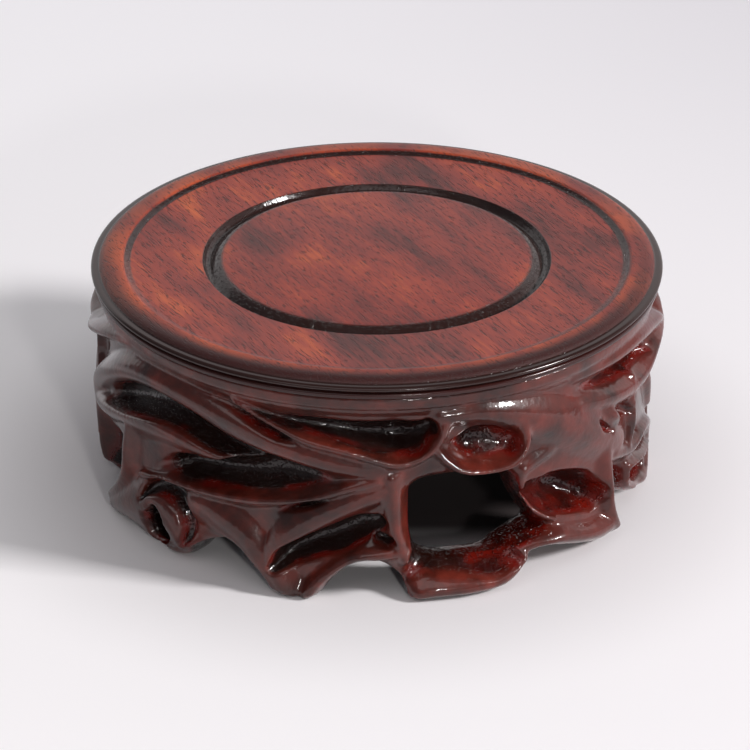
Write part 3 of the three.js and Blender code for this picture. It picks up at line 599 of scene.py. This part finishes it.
def band(tree, value, low, high, soft):
    # 1 from low to high and 0 outside, softly
    up = between(tree, value, low - soft, low + soft)
    return compute(tree, "MULTIPLY", up, between(tree, value, high + soft, high - soft))


def noise(tree, place, scale, detail):
    node = addNode(tree, "ShaderNodeTexNoise", {"Vector": place, "Scale": scale, "Detail": detail})
    return node.outputs["Fac"]


def mixColour(tree, share, a, b):
    # each of the two is a colour or a node's output
    node = tree.nodes.new("ShaderNodeMix")
    node.data_type = "RGBA"
    colours = {key: (*c, 1) if isinstance(c, tuple) else c for key, c in ((6, a), (7, b))}
    setInputs(tree, node, {0: share, **colours})
    return node.outputs[2]


def mixValue(tree, share, a, b):
    node = addNode(tree, "ShaderNodeMix", {0: share, 2: a, 3: b})
    return node.outputs[0]


def ramp(tree, value, stops):
    node = addNode(tree, "ShaderNodeValToRGB", {"Fac": value})
    elements = node.color_ramp.elements
    elements[0].position, elements[0].color = stops[0][0], (*stops[0][1], 1)
    elements[1].position, elements[1].color = stops[-1][0], (*stops[-1][1], 1)
    for position, colour in stops[1:-1]:
        elements.new(position).color = (*colour, 1)
    return node.outputs["Color"]


def bump(tree, height, distance, strength):
    values = {"Height": height, "Distance": distance * mm, "Strength": strength}
    return addNode(tree, "ShaderNodeBump", values).outputs["Normal"]


def grit(tree, place, waves, specks):
    # height in millimetres of lacquer that dried thick: slow waves with scattered specks
    slow = compute(tree, "MULTIPLY", noise(tree, place, 0.55, 2), waves)
    sharp = between(tree, noise(tree, place, 1.7, 1), 0.56, 0.68)
    return compute(tree, "ADD", slow, compute(tree, "MULTIPLY", sharp, specks))


def placeInMillimetres(tree):
    coords = tree.nodes.new("ShaderNodeTexCoord")
    scaled = addNode(tree, "ShaderNodeVectorMath", {0: coords.outputs["Object"], 3: 1 / mm})
    scaled.operation = "SCALE"
    split = addNode(tree, "ShaderNodeSeparateXYZ", {0: scaled.outputs[0]})
    return scaled.outputs[0], split.outputs


def distanceFromAxis(tree, axes):
    squares = [compute(tree, "POWER", axes[i], 2.0) for i in (0, 1)]
    return compute(tree, "SQRT", compute(tree, "ADD", *squares))


def alongGrain(tree, place, turn, across, along):
    # places counted in features: their size across and along the grain, in millimetres
    node = addNode(tree, "ShaderNodeMapping", {"Vector": place, "Rotation": (0, 0, math.radians(turn)),
                                               "Scale": (across, along, across)})
    node.vector_type = "TEXTURE"
    return node.outputs[0]


topWood = {
    "grain": 28.4,             # turn of the grain in degrees
    "patches": (11, 26),       # sizes across and along the grain
    "streaks": (0.9, 16),
    "streakShare": 0.3,
    "tones": [(0.34, (0.07, 0.012, 0.01)), (0.45, (0.19, 0.025, 0.018)), (0.56, (0.29, 0.038, 0.02)),
              (0.7, (0.5, 0.095, 0.024))],
    "rimTones": [(0.36, (0.2, 0.022, 0.014)), (0.64, (0.44, 0.07, 0.016))],
    "rimFrom": (52.6, 53.8),   # radii over which the rim's tones come in
    "stain": (0.035, 0.006, 0.005),
    "stainFrom": (53.5, 56.6),
    "backStainAndShade": 0.25,         # share of the rim's stain and painted front shade that the back of the board has
    "pores": (0.3, 2.6),
    "pore": (0.03, 0.007, 0.006),
    "poreShare": 0.75,
    "poreDepth": 0.07,
    # near-black painted into the groove and the foot of the rim as shade, and onto the moulded edge
    "dark": (0.018, 0.005, 0.0035),
    "darkUnder": (0.028, 0.006, 0.005),
    "grooveInside": (31.9, 33),
    "grooveOutside": (36.8, 36.5),
    "corner": (51.7, 53.1),    # at the foot of the rim
    "frontCornerShade": 0.25,       # share of the corner's painted shade that the front of the board has
    "mouldedEdge": (58.1, 58.4),
    "underFrom": (2.3, 2.6),   # depths over which the lower edge begins
    "waves": 0.08,
    "specks": 0.2,
    "roughness": 0.43,
    "thickRoughness": 0.16,
}


def topWoodMaterial():
    material, tree, shader = newMaterial("satin rosewood")
    place, axes = placeInMillimetres(tree)
    radius = distanceFromAxis(tree, axes)
    grain = topWood["grain"]
    patches = noise(tree, alongGrain(tree, place, grain, *topWood["patches"]), 1, 4)
    streaks = noise(tree, alongGrain(tree, place, grain, *topWood["streaks"]), 1, 3)
    wood = ramp(tree, mixValue(tree, topWood["streakShare"], patches, streaks), topWood["tones"])
    rim = ramp(tree, patches, topWood["rimTones"])
    wood = mixColour(tree, between(tree, radius, *topWood["rimFrom"]), wood, rim)
    # the rim's outer band is stained, and painted darker still at the front as shade
    front = mixValue(tree, between(tree, axes[1], 20, -40), topWood["backStainAndShade"], 1.0)
    stain = compute(tree, "MULTIPLY", between(tree, radius, *topWood["stainFrom"]), front)
    wood = mixColour(tree, stain, wood, topWood["stain"])
    pores = between(tree, noise(tree, alongGrain(tree, place, grain, *topWood["pores"]), 1, 2), 0.56, 0.66)
    wood = mixColour(tree, compute(tree, "MULTIPLY", pores, topWood["poreShare"]), wood, topWood["pore"])

    # the groove and the foot of the rim are painted near-black as shade, the foot less at the front; the
    # moulded edge is darkened too, and the lacquer is smoother in all three
    groove = compute(tree, "MULTIPLY", between(tree, radius, *topWood["grooveInside"]),
                     between(tree, radius, *topWood["grooveOutside"]))
    away = mixValue(tree, between(tree, axes[1], -30, 10), topWood["frontCornerShade"], 1.0)
    corner = compute(tree, "MULTIPLY", band(tree, radius, *topWood["corner"], 0.25), away)
    edge = between(tree, radius, *topWood["mouldedEdge"])
    shadeAndThickLacquer = compute(tree, "MAXIMUM", compute(tree, "MAXIMUM", groove, corner), edge)
    under = between(tree, axes[2], *(stand["height"] - depth for depth in topWood["underFrom"]))
    colour = mixColour(tree, shadeAndThickLacquer, wood, mixColour(tree, under, topWood["dark"], topWood["darkUnder"]))

    dents = compute(tree, "MULTIPLY", pores, -topWood["poreDepth"])
    fine = mixValue(tree, shadeAndThickLacquer, dents, grit(tree, place, topWood["waves"], topWood["specks"]))
    setInputs(tree, shader, {
        "Base Color": colour,
        "Roughness": mixValue(tree, shadeAndThickLacquer, topWood["roughness"], topWood["thickRoughness"]),
        "Specular IOR Level": 0.5,
        "Normal": bump(tree, mixValue(tree, edge, fine, 0), 1.0, 1.0),
    })
    return material


lacquer = {
    "blotches": 0.1,           # features in a millimetre
    "smallBlotches": 0.35,
    "smallShare": 0.35,
    "crestTones": [(0.34, (0.022, 0.0045, 0.003)), (0.52, (0.065, 0.01, 0.006)), (0.7, (0.14, 0.02, 0.012))],
    # crests on the right side are painted redder where the window light falls
    "litRightCrest": (0.085, 0.01, 0.006),
    "litRightCrestFrom": (12, 56),
    "litRightCrestShare": 0.75,
    # near-black painted into the hollows and inside the ring as shade
    "hollow": (0.009, 0.002, 0.0012),
    # hollows on the right are painted red as if lit by the window
    "litRightHollow": [(0.4, (0.028, 0.002, 0.001)), (0.66, (0.13, 0.005, 0.0018))],
    "litRightHollowFrom": (8, 34),
    "edge": (0.11, 0.005, 0.0025),    # red at the edge of a hollow, where the lacquer thins out, partly a painted lit glow
    "edgeBand": (0.14, 0.55),
    "rubbed": 0.08,            # height of the crests' slow unevenness
    "waves": 0.26,
    "specks": 0.3,
    "roughness": (0.34, 0.22),     # on the crests and in the hollows
    "coat": (0.78, 0.6),
    "leftCoatRoughness": 0.1,
    "rightCoatRoughness": 0.045,
    "hollowCoatRoughness": 0.05,
}


def lacquerMaterial():
    material, tree, shader = newMaterial("dark lacquer")
    place, axes = placeInMillimetres(tree)
    marks = addNode(tree, "ShaderNodeAttribute", {})
    marks.attribute_name = "hollow"
    hollow = marks.outputs["Fac"]
    blotches = noise(tree, place, lacquer["blotches"], 4)
    small = noise(tree, place, lacquer["smallBlotches"], 3)
    crest = ramp(tree, mixValue(tree, lacquer["smallShare"], blotches, small), lacquer["crestTones"])
    # crests on the right side are painted redder as if lit by the window
    right = compute(tree, "MULTIPLY", between(tree, axes[0], *lacquer["litRightCrestFrom"]),
                    between(tree, blotches, 0.36, 0.6))
    right = compute(tree, "MULTIPLY", right, lacquer["litRightCrestShare"])
    crest = mixColour(tree, right, crest, lacquer["litRightCrest"])
    # hollows on the right are painted red as if lit, those on the left stay dark as painted shade
    red = ramp(tree, noise(tree, place, 0.16, 1), lacquer["litRightHollow"])
    deep = mixColour(tree, between(tree, axes[0], *lacquer["litRightHollowFrom"]), lacquer["hollow"], red)
    # the hollows and the ring's inside are painted dark as shade
    colour = mixColour(tree, between(tree, hollow, 0.12, 0.5), crest, deep)
    patchy = between(tree, noise(tree, place, 0.13, 1), 0.44, 0.6)
    # red edges of the hollows: thin lacquer, and partly a painted lit glow
    edge = compute(tree, "MULTIPLY", band(tree, hollow, *lacquer["edgeBand"], 0.14), patchy)
    colour = mixColour(tree, edge, colour, lacquer["edge"])

    inside = between(tree, hollow, 0.15, 0.6)
    rubbed = compute(tree, "MULTIPLY", noise(tree, place, 0.8, 2), lacquer["rubbed"])
    height = mixValue(tree, inside, rubbed, grit(tree, place, lacquer["waves"], lacquer["specks"]))
    normal = bump(tree, height, 1.0, 1.0)
    polished = mixValue(tree, between(tree, axes[0], -5, 25),
                        lacquer["leftCoatRoughness"], lacquer["rightCoatRoughness"])
    setInputs(tree, shader, {
        "Base Color": colour,
        "Roughness": mixValue(tree, inside, *lacquer["roughness"]),
        "Specular IOR Level": 0.24,
        "Coat Weight": mixValue(tree, inside, *lacquer["coat"]),
        "Coat Roughness": mixValue(tree, inside, polished, lacquer["hollowCoatRoughness"]),
        "Normal": normal,
        "Coat Normal": normal,
    })
    return material


bareWood = {
    "streaks": (0.5, 6),       # sizes across and along the grain
    "tones": [(0.3, (0.25, 0.12, 0.06)), (0.7, (0.45, 0.26, 0.14))],
    "roughness": 0.7,
}


def bareWoodMaterial():
    material, tree, shader = newMaterial("bare joint wood")
    place, _ = placeInMillimetres(tree)
    streaks = noise(tree, alongGrain(tree, place, 0, *bareWood["streaks"]), 1, 3)
    setInputs(tree, shader, {
        "Base Color": ramp(tree, streaks, bareWood["tones"]),
        "Roughness": bareWood["roughness"],
        "Normal": bump(tree, streaks, 0.1, 0.3),
    })
    return material


darkLacquer = lacquerMaterial()
jointWood = bareWoodMaterial()

buildBoard(topWoodMaterial())
splitRing(buildRing(darkLacquer), darkLacquer)
for name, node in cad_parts.items():
    if name.startswith(("joint_tongue", "top_peg")):
        node.data.materials.clear()
        node.data.materials.append(jointWood)
print("tongues and pegs finished")

# Floor, light and camera

photo = {
    "size": 750,               # in pixels, as the seat's middle below
    "mmPerPixel": 60 / 285.5,
    "elevation": 25.6,
    "distance": 976.9,         # from the middle of the seat
    "seatPixel": (376.8, 257.8),
    "seatHeight": 50.0,
    "sensor": 36,
}

floorLook = {
    "halfSize": 3,             # in metres
    # the floor is painted darker on the right and far away, as the room's shade
    "near": ((0.78, 0.76, 0.77), (0.65, 0.63, 0.65)),    # on the left and on the right
    "far": ((0.76, 0.75, 0.78), (0.42, 0.4, 0.44)),
    "sideFrom": (-140, 260),
    "farFrom": (-60, 420),
    # the floor under the ring is painted near-black as shade
    "shadeInsideRing": (0.05, 0.04, 0.04),
    "glow": 0.16,              # only the camera sees it
    "glowFrom": (56, 100),     # radii, so that the contact shadow stays
}

room = {"colour": (0.74, 0.76, 0.82, 1), "strength": 0.2}

# each light's direction as its turn from the front and its elevation, then its distance and size in metres
lights = {
    "window": {"turn": 72, "elevation": 31, "distance": 2, "size": (0.34, 0.34), "radiance": 126,
               "colour": (1, 0.98, 0.98)},
    "ceiling": {"turn": -8, "elevation": 55, "distance": 0.9, "size": (0.9, 0.5), "radiance": 1.05,
                "colour": (1, 0.96, 0.96)},
    "backWall": {"turn": 180, "elevation": 22, "distance": 1, "size": (2.8, 0.8), "radiance": 0.62,
                 "colour": (1, 0.95, 0.94)},
    "rightWall": {"turn": 100, "elevation": 22, "distance": 1.3, "size": (1.2, 0.8), "radiance": 0.3,
                  "colour": (1, 0.97, 0.97)},
    "lamp": {"turn": 14, "elevation": 20, "distance": 2, "size": (0.12, 0.12), "radiance": 190,
             "colour": (1, 0.98, 0.96)},
}


def buildStage():
    bm = bmesh.new()
    bmesh.ops.create_grid(bm, x_segments=1, y_segments=1, size=floorLook["halfSize"])
    material, tree, shader = newMaterial("pale floor")
    place, axes = placeInMillimetres(tree)
    side = between(tree, axes[0], *floorLook["sideFrom"])
    near = mixColour(tree, side, *floorLook["near"])
    far = mixColour(tree, side, *floorLook["far"])
    colour = mixColour(tree, between(tree, axes[1], *floorLook["farFrom"]), near, far)
    radius = distanceFromAxis(tree, axes)
    # the floor inside the ring is painted dark as shade
    under = compute(tree, "MULTIPLY", between(tree, radius, 47, 44), between(tree, axes[1], -35, -25))
    colour = mixColour(tree, under, colour, floorLook["shadeInsideRing"])
    seen = addNode(tree, "ShaderNodeLightPath", {}).outputs["Is Camera Ray"]
    glow = compute(tree, "MULTIPLY", seen, floorLook["glow"])
    glow = compute(tree, "MULTIPLY", glow, between(tree, radius, *floorLook["glowFrom"]))
    setInputs(tree, shader, {
        "Base Color": colour, "Roughness": 0.85, "Specular IOR Level": 0.2,
        "Emission Color": (1, 0.985, 1, 1), "Emission Strength": glow,
    })
    objectFromBmesh("floor", bm, material)


def buildWorld():
    world = bpy.data.worlds.new("studio")
    world.use_nodes = True
    setInputs(world.node_tree, world.node_tree.nodes["Background"],
              {"Color": room["colour"], "Strength": room["strength"]})
    bpy.context.scene.world = world


def buildLight(name, light):
    data = bpy.data.lights.new(name, "AREA")
    data.shape = "RECTANGLE"
    data.size, data.size_y = light["size"]
    data.energy = light["radiance"] * math.pi * data.size * data.size_y
    data.color = light["colour"]
    turn, rise = math.radians(light["turn"]), math.radians(light["elevation"])
    towards = Vector((math.sin(turn) * math.cos(rise), -math.cos(turn) * math.cos(rise), math.sin(rise)))
    lamp = bpy.data.objects.new(name, data)
    lamp.location = towards * light["distance"]
    lamp.rotation_euler = towards.to_track_quat("Z", "Y").to_euler()
    bpy.context.scene.collection.objects.link(lamp)


def buildCamera():
    tilt = math.radians(photo["elevation"])
    forward = Vector((0, math.cos(tilt), -math.sin(tilt)))
    upward = Vector((0, math.sin(tilt), math.cos(tilt)))
    seat = Vector((0, 0, photo["seatHeight"]))
    place = seat - forward * photo["distance"]
    offX = photo["size"] / 2 - photo["seatPixel"][0]
    offY = photo["size"] / 2 - photo["seatPixel"][1]
    aim = seat + Vector((1, 0, 0)) * offX * photo["mmPerPixel"] - upward * offY * photo["mmPerPixel"]
    data = bpy.data.cameras.new("camera")
    data.sensor_width = photo["sensor"]
    data.lens = photo["distance"] / photo["mmPerPixel"] * data.sensor_width / photo["size"]
    data.clip_start, data.clip_end = 0.01, 20
    camera = bpy.data.objects.new("camera", data)
    camera.location = place * mm
    camera.rotation_euler = (aim - place).to_track_quat("-Z", "Y").to_euler()
    bpy.context.scene.collection.objects.link(camera)
    bpy.context.scene.camera = camera


buildStage()
buildCamera()
for name, light in lights.items():
    buildLight(name, light)
buildWorld()
bpy.context.scene.view_settings.view_transform = "Standard"
print("stage ready")
